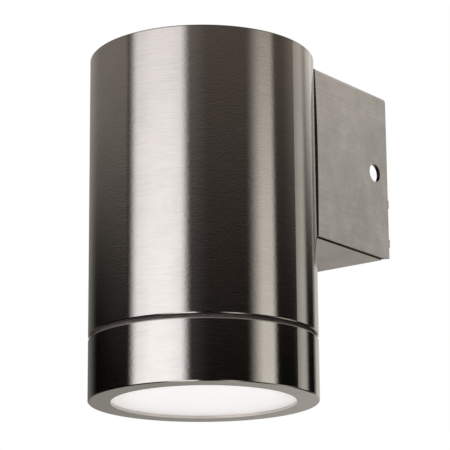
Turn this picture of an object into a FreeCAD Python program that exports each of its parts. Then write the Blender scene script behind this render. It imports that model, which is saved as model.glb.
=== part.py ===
import FreeCAD, Part
import math
import os
import re
import Sketcher
from FreeCAD import Placement, Rotation, Vector

# Tube wall light: a closed round tube that shines down, carried by a square folded box on a wall.
# Millimetres. The origin is the centre of the wall bracket's back face, on the wall plane.
# +Z is up, +X is to the viewer's right and the light stands out from the wall towards -Y.

SIZES = {
    # Tube and lens ring, turned about the tube's own axis.
    "axis_back": 59.0,          # wall plane to tube axis
    "tube_radius": 32.5,
    "tube_wall": 1.2,
    "tube_top": 26.2,
    "light_height": 100.3,       # tube top to the lens ring's lip
    "edge_break": 0.25,
    "cap_thickness": 1.5,
    "ring_height": 17.4,
    "ring_chamfer": 0.35,
    "groove_height": 1.1,       # dark groove between tube and lens ring
    "ring_bore": 30.0,
    "lip_radius": 26.1,
    "lip_thickness": 0.8,
    "seal_crown": 0.8,
    "seal_reach": 1.45,
    "collar_radius": 29.8,      # threaded spigot, plain at its major diameter
    "collar_wall": 1.5,
    "collar_skirt": 7.0,
    "collar_chamfer": 0.4,
    "thread_fit": 0.05,
    "hole_fit": 0.1,            # all-round play of fasteners and sleeves in their holes
    # Lens and its gasket.
    "glass_radius": 29.2,
    "glass_thickness": 4.0,
    "glass_chamfer": 0.4,
    "gasket_thickness": 1.5,
    "gasket_bore": 27.2,
    "seat_gap": 0.05,
    # Folded box.
    "box_width": 50.6,
    "box_height": 50.6,
    "box_reach": 40.0,
    "sheet": 1.2,
    "fold_radius": 1.6,
    "seam_gap": 1.6,            # open corner seam under the right-hand side
    "rear_gap": 0.45,           # the nubs hold the box's rear edge off the wall by this much
    "nub_height": 2.4,
    "nub_upper": -8.4,
    "nub_lower": -20.6,
    "side_hole_radius": 2.8,
    "side_hole_back": 7.2,
    # Saddle between box and tube.
    "saddle_gap": 0.5,          # gasket thickness between tube and saddle
    "saddle_height": 47.2,
    "flange_length": 13.0,
    "gasket_width": 49.8,
    "gasket_height": 49.8,
    "screw_spacing": 37.0,
    "screw_radius": 2.0,
    "screw_length": 8.6,
    "screw_seat": 31.05,
    "clearance_radius": 2.15,
    "head_radius": 3.5,
    "head_height": 2.4,
    "head_chamfer": 0.8,
    "nut_width": 7.0,
    "nut_height": 3.2,
    "washer_radius": 3.9,
    "washer_thickness": 0.8,
    "lead_hole_up": 8.5,
    "lead_hole_radius": 4.5,
    "sleeve_bore": 3.0,         # rubber sleeve in the lead hole
    "sleeve_flange": 5.3,
    "sleeve_flange_sheet": 1.2,
    "sleeve_front": 29.4,       # tube axis to the front of its inner flange
    # Terminal block: three poles side by side.
    "block_width": 25.2,
    "block_height": 16.0,
    "block_depth": 12.0,
    "block_low": -14.5,
    "block_back": 12.7,
    "pole_pitch": 8.4,
    "pole_groove": 1.2,
    "shoulder": 2.2,
    "wire_bore": 1.95,
    "clamp_bore": 1.3,
    "clamp_length": 12.0,
    "well_radius": 1.7,
    "terminal_screw_radius": 1.5,
    "terminal_screw_length": 4.0,
    "terminal_screw_pitch": 7.0,
    "block_screw_radius": 1.25,
    "block_screw_length": 13.3,
    "block_head_radius": 2.2,
    "block_head_height": 1.6,
    "driver_slot": 0.6,
    # Leads.
    "lead_radius": 1.1,
    "tag_angle": 45.0,
    "tag_reach": 7.5,
    "tongue_width": 2.8,
    "barrel_length": 4.5,
    "barrel_radius": 1.6,
    "lead_spread": 1.4,         # leads each side of the grommet's centre
    "lead_drop": 14.0,          # tube axis to where the leads turn down
    "lead_rise": 7.0,           # last straight run into the holder
    "lead_grip": 2.5,
    "lead_bend": 6.5,
    # Lamp holder and strap.
    "holder_radius": 13.5,
    "holder_low": -20.0,
    "holder_height": 16.0,
    "holder_lip": 2.2,
    "holder_chamfer": 1.0,
    "cavity_height": 8.8,
    "cavity_near": 1.6,         # cavity edges, from the holder's middle and beside the pin
    "cavity_far": 8.3,
    "cavity_left": 3.0,
    "cavity_right": 5.2,
    "pin_circle": 5.0,
    "pin_twist": 25.0,
    "keyhole_radius": 2.75,
    "keyway_width": 3.4,
    "contact_low": 0.8,
    "wire_pocket": 1.3,
    "wire_pocket_depth": 3.0,
    "wire_across": 6.0,
    "wire_behind": 7.5,
    "contact_width": 2.8,
    "contact_thickness": 0.4,
    "contact_height": 7.0,
    "contact_gap": 0.2,
    "strap_sheet": 1.2,
    "strap_width": 10.0,
    "strap_reach": 30.8,
    "strap_tab": 10.0,
    "strap_bend": 2.0,
    "strap_screw_radius": 1.5,
    "strap_screw_length": 9.0,
    "strap_head_radius": 2.8,
    "strap_head_height": 2.0,
    "strap_screw_spacing": 19.0,
    # Lamp.
    "lamp_gap": 0.3,
    "base_radius": 11.6,
    "base_height": 13.7,
    "neck_radius": 13.4,
    "neck_height": 2.5,
    "neck_taper": 1.5,
    "base_draft": 0.6,
    "base_chamfer": 1.0,
    "lamp_radius": 25.0,
    "lamp_front": -66.0,
    "lamp_wall": 1.2,
    "rim_height": 4.4,
    "rim_wall": 1.4,
    "front_thickness": 1.8,
    "capsule_radius": 4.5,
    "capsule_length": 16.0,
    "capsule_foot": 2.0,
    "pin_neck_radius": 1.4,
    "pin_head_radius": 2.4,
    "pin_float": 0.2,           # pin head above the holder's lip
    "pin_head_height": 2.9,
    "pin_chamfer": 0.5,
    # Wall bracket.
    "bracket_width": 35.0,
    "bracket_height": 40.0,
    "bracket_sheet": 1.5,
    "corner_radius": 3.0,
    "ear_length": 13.0,
    "ear_height": 13.0,
    "ear_hole_radius": 1.65,
    "slot_spacing": 29.0,
    "slot_length": 8.0,
    "slot_width": 4.6,
    "cable_hole_radius": 6.0,
    "cable_bore": 4.0,
    "grommet_flange": 2.0,
    "grommet_chamfer": 0.6,
    "earth_across": -11.0,
    "earth_up": 13.5,
    "earth_recess": 0.2,        # the earth screw stops this far inside the back face
}

# Heights and radii that follow from the driving sizes.
FOOT = "(tube_top - light_height)"
RING_TOP = f"({FOOT} + ring_height)"
TUBE_FOOT = f"({RING_TOP} + groove_height)"
GLASS_LOW = f"({FOOT} + lip_thickness + seat_gap)"
GLASS_TOP = f"({GLASS_LOW} + glass_thickness)"
GASKET_TOP = f"({GLASS_TOP} + gasket_thickness)"
COLLAR_END = f"({GASKET_TOP} + seat_gap)"
TUBE_BORE = "(tube_radius - tube_wall)"
SADDLE_IN = "(tube_radius + saddle_gap)"
SADDLE_OUT = "(tube_radius + saddle_gap + sheet)"
HOLDER_TOP = "(holder_low + holder_height)"
HOLDER_LIP_TOP = "(holder_low + holder_lip)"
LAMP_TOP = "(holder_low - lamp_gap)"
NECK = "(holder_low - lamp_gap - base_height)"
BLOCK_MID = "(block_low + block_height / 2)"
CLAMP_BACK = "(block_back + block_depth / 2)"
BOX_INSIDE = "(box_width / 2 - sheet)"
FULL_TURN = 360.0

doc = FreeCAD.newDocument("tube_wall_light")
sheet = doc.addObject("Spreadsheet::Sheet", "Dims")
for row, (name, number) in enumerate(SIZES.items(), start=1):
    sheet.set(f"A{row}", name)
    sheet.set(f"B{row}", str(number))
    sheet.setAlias(f"B{row}", name)
doc.recompute()

pieces = {}


def bound(text):
    """The same formula with each driving size named by its cell."""
    words = r"[a-z]+(?:_[a-z]+)*"
    return re.sub(words, lambda word: f"Dims.{word[0]}" if word[0] in SIZES else word[0], text)


def value(text):
    """A formula's present value."""
    return float(sheet.evalExpression(bound(text)))


def bind(target, path, text):
    target.setExpression(path, bound(text))


def start_body(name, across="0", back="0", up="0", lay_back=False, spin="0"):
    """A named body at (across, -back, up). With lay_back its own Z runs along +Y and its own Y down,
    and spin turns it in degrees about its own Z."""
    body = doc.addObject("PartDesign::Body", name)
    body.Label = name
    if lay_back:
        laid = Rotation(Vector(1, 0, 0), -90) * Rotation(Vector(0, 0, 1), value(spin))
        body.Placement = Placement(Vector(), laid)
    bind(body, "Placement.Base.x", across)
    bind(body, "Placement.Base.y", f"-({back})")
    bind(body, "Placement.Base.z", up)
    pieces[name] = body
    return body


def origin_part(body, role):
    return next(item for item in body.Origin.OriginFeatures if item.Role == role)


def start_sketch(body, plane, offset="0"):
    """A sketch on one of the body's own origin planes, moved along the plane's normal by offset."""
    sketch = body.newObject("Sketcher::SketchObject", "sketch")
    sketch.AttachmentSupport = [(origin_part(body, plane), "")]
    sketch.MapMode = "FlatFace"
    bind(sketch, "AttachmentOffset.Base.z", offset)
    return sketch


def fix_point(sketch, edge, end, across, along):
    """Hold a point at its two formulas, or on an axis where the formula is zero."""
    for kind, text, axis in (("DistanceX", across, -2), ("DistanceY", along, -1)):
        if text == "0":
            sketch.addConstraint(Sketcher.Constraint("PointOnObject", edge, end, axis))
        else:
            index = sketch.addConstraint(Sketcher.Constraint(kind, -1, 1, edge, end, value(text)))
            bind(sketch, f"Constraints[{index}]", text)


def fix_radius(sketch, edge, text):
    index = sketch.addConstraint(Sketcher.Constraint("Radius", edge, value(text)))
    bind(sketch, f"Constraints[{index}]", text)


def draw_circle(sketch, across, along, radius):
    centre = Vector(value(across), value(along), 0)
    edge = sketch.addGeometry(Part.Circle(centre, Vector(0, 0, 1), value(radius)), False)
    fix_point(sketch, edge, 3, across, along)
    fix_radius(sketch, edge, radius)


def arc_between(start, end, radius, clockwise):
    """The short arc from start to end, and which of its ends is the start."""
    chord = end - start
    half = chord.Length / 2
    side = Vector(-chord.y, chord.x, 0).normalize() * math.sqrt(max(radius**2 - half**2, 0))
    centre = (start + end) / 2 + (side * -1 if clockwise else side)
    first, last = (end, start) if clockwise else (start, end)
    turn_on = math.atan2(first.y - centre.y, first.x - centre.x)
    turn_off = math.atan2(last.y - centre.y, last.x - centre.x)
    circle = Part.Circle(centre, Vector(0, 0, 1), radius)
    return Part.ArcOfCircle(circle, turn_on, turn_off), (2, 1) if clockwise else (1, 2)


def draw_outline(sketch, steps):
    """A closed outline. A step is (across, along), reached from the step before by a straight edge,
    or (across, along, radius, "left" or "right"), reached by an arc that turns that way. A radius of
    "half" makes the arc a half circle."""
    places = [Vector(value(step[0]), value(step[1]), 0) for step in steps]
    edges = []
    for index, step in enumerate(steps):
        start, end = places[index - 1], places[index]
        if len(step) == 2:
            edge = sketch.addGeometry(Part.LineSegment(start, end), False)
            ends = (1, 2)
        else:
            radius = (end - start).Length / 2 if step[2] == "half" else value(step[2])
            arc, ends = arc_between(start, end, radius, step[3] == "right")
            edge = sketch.addGeometry(arc, False)
        edges.append((edge, ends))
    for index, (edge, ends) in enumerate(edges):
        before, before_ends = edges[index - 1]
        sketch.addConstraint(Sketcher.Constraint("Coincident", before, before_ends[1], edge, ends[0]))
        fix_point(sketch, edge, ends[1], steps[index][0], steps[index][1])
    for (edge, ends), step in zip(edges, steps):
        if "half" in step:
            sketch.addConstraint(Sketcher.Constraint("Symmetric", edge, 1, edge, 2, edge, 3))
        elif len(step) > 2:
            fix_radius(sketch, edge, step[2])


def revolve(body, steps):
    """A solid turned about the body's own Z from an outline of (radius, height) steps."""
    sketch = start_sketch(body, "XZ_Plane")
    draw_outline(sketch, steps)
    feature = body.newObject("PartDesign::Revolution", "turned")
    feature.Profile = sketch
    feature.ReferenceAxis = (origin_part(body, "Z_Axis"), [""])
    feature.Angle = FULL_TURN
    return feature


def turned(name, steps, **place):
    body = start_body(name, **place)
    revolve(body, steps)
    return body


def pad(body, plane, length, outline=None, circles=(), offset="0", both_ways=False):
    """Add a padded outline, with round holes where circles are given. XZ pads run towards -Y."""
    sketch = start_sketch(body, plane, offset)
    if outline:
        draw_outline(sketch, outline)
    for circle in circles:
        draw_circle(sketch, *circle)
    feature = body.newObject("PartDesign::Pad", "pad")
    feature.Profile = sketch
    bind(feature, "Length", length)
    if both_ways:
        feature.SideType = "Symmetric"
    return feature


def cut(body, plane, length, outlines=(), circles=(), offset="0", both_ways=False, forward=False):
    """Cut away an outline or circles, against the plane's normal, or along it with forward."""
    doc.recompute()
    before = body.Shape.Volume
    sketch = start_sketch(body, plane, offset)
    for outline in outlines:
        draw_outline(sketch, outline)
    for circle in circles:
        draw_circle(sketch, *circle)
    feature = body.newObject("PartDesign::Pocket", "pocket")
    feature.Profile = sketch
    bind(feature, "Length", length)
    feature.Reversed = forward
    if both_ways:
        feature.SideType = "Symmetric"
    doc.recompute()
    if body.Shape.Volume > before - 1e-3:
        raise RuntimeError(f"{body.Label}: a pocket cuts nothing")
    return feature


def repeat(body, features, axis, spacing, count=2, backwards=False):
    """Copies of features in a straight row along one of the body's own axes."""
    pattern = body.newObject("PartDesign::LinearPattern", "row")
    pattern.Originals = features
    pattern.Direction = (origin_part(body, axis), [""])
    pattern.Mode = "Extent"
    bind(pattern, "Length", f"({spacing}) * {count - 1}")
    pattern.Occurrences = count
    pattern.Reversed = backwards
    body.Tip = pattern
    return pattern


def turn_over(body, features):
    """A second copy half a turn round the body's own Z."""
    pattern = body.newObject("PartDesign::PolarPattern", "pair")
    pattern.Originals = features
    pattern.Axis = (origin_part(body, "Z_Axis"), [""])
    pattern.Angle = FULL_TURN
    pattern.Occurrences = 2
    body.Tip = pattern
    return pattern


def mirror(body, features, plane):
    twin = body.newObject("PartDesign::Mirrored", "twin")
    twin.Originals = features
    twin.MirrorPlane = (origin_part(body, plane), [""])
    body.Tip = twin
    return twin


def box_outline(left, right, low, high):
    return [(left, low), (right, low), (right, high), (left, high)]


def kidney(circle, half_width, twist):
    """Curved slot round the origin, from straight up to twist degrees clockwise, with round ends."""
    inner = f"({circle} - {half_width})"
    outer = f"({circle} + {half_width})"
    return [
        ("0", outer, outer, "left"),
        ("0", inner, "half", "left"),
        (f"{inner} * sin({twist})", f"{inner} * cos({twist})", inner, "right"),
        (f"{outer} * sin({twist})", f"{outer} * cos({twist})", "half", "left"),
    ]


# ---- Tube ------------------------------------------------------------------------------------

def make_body_tube():
    """Drawn steel tube with two screw holes and a lead hole through its back wall."""
    body = turned("body_tube", [
        (TUBE_BORE, TUBE_FOOT),
        ("tube_radius - edge_break", TUBE_FOOT),
        ("tube_radius", f"{TUBE_FOOT} + edge_break"),
        ("tube_radius", "tube_top - edge_break"),
        ("tube_radius - edge_break", "tube_top"),
        (TUBE_BORE, "tube_top"),
    ], back="axis_back")
    cut(body, "XZ_Plane", "tube_radius + 1", circles=[
        ("0", "screw_spacing / 2", "clearance_radius"),
        ("0", "-screw_spacing / 2", "clearance_radius"),
        ("0", "lead_hole_up", "lead_hole_radius"),
    ])


def make_top_cap():
    """Flat disc pressed into the top of the tube and dressed flush."""
    turned("top_cap", [
        ("0", "tube_top - cap_thickness"),
        (TUBE_BORE, "tube_top - cap_thickness"),
        (TUBE_BORE, "tube_top - edge_break"),
        (f"{TUBE_BORE} - edge_break", "tube_top"),
        ("0", "tube_top"),
    ], back="axis_back")


def make_threaded_collar():
    """Stepped collar: its skirt is fixed inside the tube, its spigot carries the lens ring's thread."""
    turned("threaded_collar", [
        ("collar_radius - collar_wall", COLLAR_END),
        ("collar_radius - collar_chamfer", COLLAR_END),
        ("collar_radius", f"{COLLAR_END} + collar_chamfer"),
        ("collar_radius", TUBE_FOOT),
        (TUBE_BORE, TUBE_FOOT),
        (TUBE_BORE, f"{TUBE_FOOT} + collar_skirt"),
        (f"{TUBE_BORE} - sheet", f"{TUBE_FOOT} + collar_skirt"),
        (f"{TUBE_BORE} - sheet", f"{TUBE_FOOT} + collar_wall"),
        ("collar_radius - collar_wall", f"{TUBE_FOOT} + collar_wall"),
    ], back="axis_back")


def make_ring_seal():
    """Seal that fills the groove between tube and lens ring, crowned on its outer edge."""
    low = f"({RING_TOP} + seat_gap)"
    high = f"({TUBE_FOOT} - thread_fit)"
    turned("ring_seal", [
        ("collar_radius + thread_fit", low),
        ("collar_radius + seal_reach", low),
        ("collar_radius + seal_reach", high, "seal_crown", "left"),
        ("collar_radius + thread_fit", high),
    ], back="axis_back")


def make_lens_ring():
    """Screw-on ring: plain bore at the thread, narrow lip under the lens, chamfered top edge."""
    turned("lens_ring", [
        ("lip_radius", f"{FOOT}"),
        ("tube_radius - edge_break", FOOT),
        ("tube_radius", f"{FOOT} + edge_break"),
        ("tube_radius", f"{RING_TOP} - ring_chamfer"),
        ("tube_radius - ring_chamfer", RING_TOP),
        ("ring_bore", RING_TOP),
        ("ring_bore", f"{FOOT} + lip_thickness"),
        ("lip_radius", f"{FOOT} + lip_thickness"),
    ], back="axis_back")


def make_lens():
    """Frosted disc on the ring's lip, and the flat gasket that the collar presses on it."""
    turned("lens_glass", [
        ("0", GLASS_LOW),
        ("glass_radius - glass_chamfer", GLASS_LOW),
        ("glass_radius", f"{GLASS_LOW} + glass_chamfer"),
        ("glass_radius", f"{GLASS_TOP} - glass_chamfer"),
        ("glass_radius - glass_chamfer", GLASS_TOP),
        ("0", GLASS_TOP),
    ], back="axis_back")
    turned("lens_gasket", box_outline("gasket_bore", "glass_radius", GLASS_TOP, GASKET_TOP), back="axis_back")


# ---- Box and saddle --------------------------------------------------------------------------

def make_box_sleeve():
    """One folded strip: bottom, left side, top and right side, with an open seam at the last corner.
    Its front is scooped to the tube and small nubs on its rear edge stand it off the wall."""
    body = start_body("box_sleeve")
    right, top = "box_width / 2", "box_height / 2"
    inner, inside_top = BOX_INSIDE, "(box_height / 2 - sheet)"
    bend_x, bend_z = f"({right} - fold_radius)", f"({top} - fold_radius)"
    inner_radius = "fold_radius - sheet"
    seam = f"({inner} - seam_gap)"
    pad(body, "XZ_Plane", "box_reach - rear_gap", offset="rear_gap", outline=[
        (seam, f"-{inside_top}"),
        (seam, f"-{top}"),
        (f"-{bend_x}", f"-{top}"),
        (f"-{right}", f"-{bend_z}", "fold_radius", "right"),
        (f"-{right}", bend_z),
        (f"-{bend_x}", top, "fold_radius", "right"),
        (bend_x, top),
        (right, bend_z, "fold_radius", "right"),
        (right, f"-{top}"),
        (inner, f"-{top}"),
        (inner, bend_z),
        (bend_x, inside_top, inner_radius, "left"),
        (f"-{bend_x}", inside_top),
        (f"-{inner}", bend_z, inner_radius, "left"),
        (f"-{inner}", f"-{bend_z}"),
        (f"-{bend_x}", f"-{inside_top}", inner_radius, "left"),
    ])
    cut(body, "XY_Plane", "box_height * 2", circles=[("0", "-axis_back", SADDLE_IN)], both_ways=True)
    side_hole = ("-side_hole_back", "0", "side_hole_radius")
    cut(body, "YZ_Plane", "box_width * 2", circles=[side_hole], both_ways=True)
    for middle in ("nub_upper", "nub_lower"):
        nub = box_outline(inner, right, f"{middle} - nub_height / 2", f"{middle} + nub_height / 2")
        feature = pad(body, "XZ_Plane", "rear_gap + sheet / 2", outline=nub)
        mirror(body, [feature], "YZ_Plane")


def make_saddle():
    """The saddle plate's curved outline, its holes, and the gasket between it and the tube."""
    body = start_body("saddle_plate", back="axis_back")
    outer, inner = BOX_INSIDE, f"({BOX_INSIDE} - sheet)"
    front = f"sqrt({SADDLE_IN}^2 - {outer}^2)"
    step = f"sqrt({SADDLE_OUT}^2 - {inner}^2)"
    rear = f"({front} + flange_length)"
    pad(body, "XY_Plane", "saddle_height", both_ways=True, outline=[
        (outer, front, SADDLE_IN, "right"),
        (outer, rear),
        (inner, rear),
        (inner, step),
        (f"-{inner}", step, SADDLE_OUT, "left"),
        (f"-{inner}", rear),
        (f"-{outer}", rear),
        (f"-{outer}", front),
    ])
    holes = [
        ("0", "screw_spacing / 2", "clearance_radius"),
        ("0", "-screw_spacing / 2", "clearance_radius"),
        ("0", "lead_hole_up", "lead_hole_radius"),
    ]
    block_screw = ("pole_pitch / 2", BLOCK_MID, "block_screw_radius")
    cut(body, "XZ_Plane", "axis_back", circles=holes + [block_screw])

    gasket = start_body("saddle_gasket", back="axis_back")
    side = "gasket_width / 2"
    pad(gasket, "XY_Plane", "gasket_height", both_ways=True, outline=[
        (side, f"sqrt(tube_radius^2 - ({side})^2)", "tube_radius", "right"),
        (side, f"sqrt({SADDLE_IN}^2 - ({side})^2)"),
        (f"-{side}", f"sqrt({SADDLE_IN}^2 - ({side})^2)", SADDLE_IN, "left"),
        (f"-{side}", f"sqrt(tube_radius^2 - ({side})^2)"),
    ])
    cut(gasket, "XZ_Plane", "axis_back", circles=holes)


def hexagon(width):
    """Six corners for a width across flats."""
    corner = f"{width} / sqrt(3)"
    half = f"{width} / sqrt(12)"
    return [
        (corner, "0"),
        (half, f"{width} / 2"),
        (f"-{half}", f"{width} / 2"),
        (f"-{corner}", "0"),
        (f"-{half}", f"-{width} / 2"),
        (half, f"-{width} / 2"),
    ]


def make_saddle_fasteners():
    """Two screws from inside the tube, their nuts in the box, and a plain washer under the lower nut."""
    place = {"back": "axis_back", "up": "-screw_spacing / 2", "lay_back": True}
    screws = start_body("saddle_screws", **place)
    screw = revolve(screws, [
        ("0", "screw_seat - head_height"),
        ("head_radius - head_chamfer", "screw_seat - head_height"),
        ("head_radius", "screw_seat - head_height + head_chamfer"),
        ("head_radius", "screw_seat"),
        ("screw_radius", "screw_seat"),
        ("screw_radius", "screw_seat + screw_length"),
        ("0", "screw_seat + screw_length"),
    ])
    repeat(screws, [screw], "Y_Axis", "screw_spacing", backwards=True)

    nuts = start_body("saddle_nuts", **place)
    washer_top = f"({SADDLE_OUT} + washer_thickness)"
    nut = pad(nuts, "XY_Plane", "nut_height", outline=hexagon("nut_width"), offset=washer_top,
              circles=[("0", "0", "screw_radius + thread_fit")])
    repeat(nuts, [nut], "Y_Axis", "screw_spacing", backwards=True)

    turned("saddle_washer", box_outline(
        "screw_radius + thread_fit", "washer_radius", SADDLE_OUT, washer_top), **place)


def make_lead_grommet():
    """Rubber grommet in the lead hole, with a flange each side of tube, gasket and saddle."""
    sleeve = "(lead_hole_radius - hole_fit)"
    rear = f"({SADDLE_OUT} + hole_fit)"
    turned("lead_grommet", [
        ("sleeve_bore", "sleeve_front"),
        ("sleeve_flange", "sleeve_front"),
        ("sleeve_flange", "sleeve_front + sleeve_flange_sheet"),
        (sleeve, "sleeve_front + sleeve_flange_sheet"),
        (sleeve, rear),
        ("sleeve_flange", rear),
        ("sleeve_flange", f"{rear} + sleeve_flange_sheet"),
        ("sleeve_bore", f"{rear} + sleeve_flange_sheet"),
    ], back="axis_back", up="lead_hole_up", lay_back=True)


# ---- Terminal block and leads ------------------------------------------------------------------

def make_terminal_block():
    """Three-pole moulding with a wire bore and two screw wells a pole, and screw holes between poles."""
    body = start_body("terminal_block")
    deep, shallow = "-(block_back + block_depth)", "-block_back"
    low, high = "block_low", "(block_low + block_height)"
    ledge = "-(block_back + block_depth / 2)"
    pad(body, "YZ_Plane", "block_width", both_ways=True, outline=[
        (deep, low),
        (ledge, low),
        (shallow, f"{low} + shoulder"),
        (shallow, f"{high} - shoulder"),
        (ledge, high),
        (deep, high),
    ])
    groove = box_outline("pole_pitch / 2 - pole_groove / 2", "pole_pitch / 2 + pole_groove / 2", low, high)
    slit = cut(body, "XZ_Plane", "block_depth / 2", outlines=[groove], offset="block_back", forward=True)
    mirror(body, [slit], "YZ_Plane")
    cut(body, "XY_Plane", "block_height", offset=high, circles=[
        ("-pole_pitch", f"-{CLAMP_BACK}", "wire_bore"),
        ("0", f"-{CLAMP_BACK}", "wire_bore"),
        ("pole_pitch", f"-{CLAMP_BACK}", "wire_bore"),
    ])
    wells = [(x, f"{BLOCK_MID} {side} terminal_screw_pitch / 2", "well_radius")
             for x in ("-pole_pitch", "0", "pole_pitch") for side in "+-"]
    cut(body, "XZ_Plane", "block_depth / 2", circles=wells, offset="block_back", forward=True)
    holes = [(x, BLOCK_MID, "block_screw_radius + hole_fit") for x in ("-pole_pitch / 2", "pole_pitch / 2")]
    cut(body, "XZ_Plane", "block_depth", circles=holes, offset="block_back", forward=True)


def make_terminal_metal():
    """Brass clamp tubes in the wire bores, their wire screws, and the screw that holds the block."""
    clamps = start_body("terminal_clamps", across="-pole_pitch", back=CLAMP_BACK, up=BLOCK_MID)
    clamp = pad(clamps, "XY_Plane", "clamp_length", both_ways=True, circles=[
        ("0", "0", "wire_bore"),
        ("0", "0", "clamp_bore"),
    ])
    taps = cut(clamps, "XZ_Plane", "wire_bore", circles=[
        ("0", "terminal_screw_pitch / 2", "terminal_screw_radius"),
        ("0", "-terminal_screw_pitch / 2", "terminal_screw_radius"),
    ])
    repeat(clamps, [clamp, taps], "X_Axis", "pole_pitch", count=3)

    screws = start_body("terminal_screws", across="-pole_pitch", lay_back=True,
                        back="block_back + driver_slot + terminal_screw_length",
                        up=f"{BLOCK_MID} + terminal_screw_pitch / 2")
    screw = pad(screws, "XY_Plane", "terminal_screw_length", circles=[("0", "0", "terminal_screw_radius")])
    slot = cut(screws, "XY_Plane", "driver_slot", offset="terminal_screw_length", outlines=[
        box_outline("-driver_slot / 2", "driver_slot / 2", "-well_radius", "well_radius")])
    row = repeat(screws, [screw, slot], "X_Axis", "pole_pitch", count=3)
    row.Direction2 = (origin_part(screws, "Y_Axis"), [""])
    row.Mode2 = "Extent"
    bind(row, "Length2", "terminal_screw_pitch")
    row.Occurrences2 = 2

    turned("terminal_block_screw", [
        ("0", "0"),
        ("block_screw_radius", "0"),
        ("block_screw_radius", "block_screw_length"),
        ("block_head_radius", "block_screw_length"),
        ("block_head_radius", "block_screw_length + block_head_height / 2"),
        ("block_head_radius / 2", "block_screw_length + block_head_height"),
        ("0", "block_screw_length + block_head_height"),
    ], across="pole_pitch / 2", back="block_back + block_screw_length", up=BLOCK_MID, lay_back=True)


def make_earth_tag():
    """Ring tag clamped under the upper nut, with a crimp barrel that points down to the right."""
    tag = start_body("earth_tag", back="axis_back", up="screw_spacing / 2", lay_back=True, spin="tag_angle")
    pad(tag, "XY_Plane", "washer_thickness", offset=SADDLE_OUT, circles=[
        ("0", "0", "washer_radius"),
        ("0", "0", "clearance_radius"),
    ])
    root = "washer_radius - washer_thickness"
    tongue = box_outline(root, "tag_reach", "-tongue_width / 2", "tongue_width / 2")
    pad(tag, "XY_Plane", "washer_thickness", offset=SADDLE_OUT, outline=tongue)
    barrel_up = f"({SADDLE_OUT} + barrel_radius)"
    pad(tag, "YZ_Plane", "barrel_length", offset="tag_reach - 1", circles=[
        ("0", barrel_up, "barrel_radius"),
        ("0", barrel_up, "lead_radius + thread_fit"),
    ])


def rounded_path(points):
    """Straight runs joined by tangent arcs that use up to 0.45 of the shorter run at each corner."""
    edges = []
    here = points[0]
    for before, corner, after in zip(points, points[1:], points[2:]):
        inward = (corner - before).normalize()
        outward = (after - corner).normalize()
        half_turn = inward.getAngle(outward) / 2
        setback = 0.45 * min((corner - before).Length, (after - corner).Length)
        radius = setback / math.tan(half_turn)
        leave, rejoin = corner - inward * setback, corner + outward * setback
        bisector = (outward - inward).normalize()
        apex = corner + bisector * (radius / math.cos(half_turn) - radius)
        edges += [Part.LineSegment(here, leave).toShape(), Part.Arc(leave, apex, rejoin).toShape()]
        here = rejoin
    edges.append(Part.LineSegment(here, points[-1]).toShape())
    return Part.Wire(edges)


def make_lead(name, points):
    """One insulated lead along its route."""
    path = rounded_path(points)
    along = (points[1] - points[0]).normalize()
    radius = value("lead_radius")
    disc = Part.Face(Part.Wire(Part.Circle(points[0], along, radius).toShape()))
    shape = path.makePipe(disc)
    expected = math.pi * radius**2 * path.Length
    print(f"{name}: length {path.Length:.1f}, volume over section times length {shape.Volume / expected:.3f}")
    lead = doc.addObject("Part::Feature", name)
    lead.Label = name
    lead.Shape = shape
    pieces[name] = lead


def make_leads():
    """Live and neutral run from the block through the grommet to the lamp holder, earth to its tag."""
    pitch = value("pole_pitch")
    block = -value(CLAMP_BACK)
    inside = value(f"{BLOCK_MID} + clamp_length / 3")
    axis = -value("axis_back")
    hole_up = value("lead_hole_up")
    beside = value("lead_spread")
    turn_down = axis + value("lead_drop")
    rise = value("lead_rise")
    entry = (value("wire_across"), axis + value("wire_behind"), value(HOLDER_TOP))
    pocket_floor = entry[2] - value("lead_grip")
    make_lead("live_lead", [
        Vector(-pitch, block, inside),
        Vector(-pitch, block, hole_up - 1),
        Vector(-beside, block, hole_up),
        Vector(-beside, turn_down, hole_up),
        Vector(-entry[0], entry[1], entry[2] + rise),
        Vector(-entry[0], entry[1], pocket_floor),
    ])
    make_lead("neutral_lead", [
        Vector(0, block, inside),
        Vector(0, block, hole_up - value("lead_bend")),
        Vector(beside, block, hole_up),
        Vector(beside, turn_down, hole_up),
        Vector(entry[0], entry[1], entry[2] + rise),
        Vector(entry[0], entry[1], pocket_floor),
    ])
    angle = math.radians(value("tag_angle"))
    tag_up = value("screw_spacing / 2")
    barrel = axis + value(f"{SADDLE_OUT} + barrel_radius")
    crimp = value("tag_reach + barrel_length / 4")
    bend = crimp + value("lead_bend")
    make_lead("earth_lead", [
        Vector(pitch, block, inside),
        Vector(pitch, block, value("block_low + block_height + lead_radius * 2")),
        Vector(bend * math.cos(angle), barrel, tag_up - bend * math.sin(angle)),
        Vector(crimp * math.cos(angle), barrel, tag_up - crimp * math.sin(angle)),
    ])


# ---- Lamp holder -------------------------------------------------------------------------------

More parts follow.
